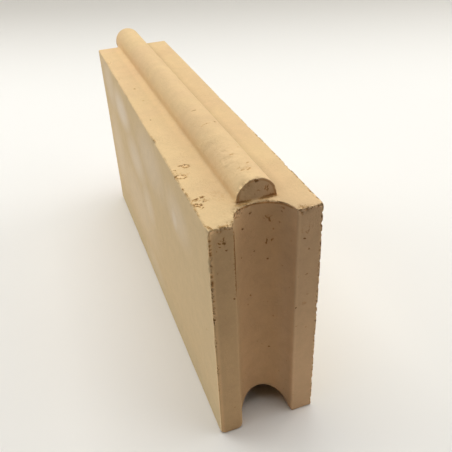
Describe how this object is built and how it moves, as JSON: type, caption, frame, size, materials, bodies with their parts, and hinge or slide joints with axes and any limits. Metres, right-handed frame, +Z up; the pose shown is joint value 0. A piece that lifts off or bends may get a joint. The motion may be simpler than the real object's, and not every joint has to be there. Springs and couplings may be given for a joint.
{
  "type": "tongue and groove refractory firebrick",
  "caption": "Rectangular fireclay brick with a half-round tongue along its top and far end, and a matching groove along its underside and near end.",
  "frame": {"origin": "on the floor, under the middle of the overall box, tongues included", "axes": "+Z up, from the grooved narrow edge to the tongued one; +Y along the length, from the grooved end to the tongued end; +X across the thickness"},
  "size_m": [0.05, 0.26, 0.134],
  "materials": {
    "fireclay": "matt, fine-grained fired clay with small pits"
  },
  "bodies": {
    "root": {"firebrick": "fireclay"}
  },
  "joints": []
}
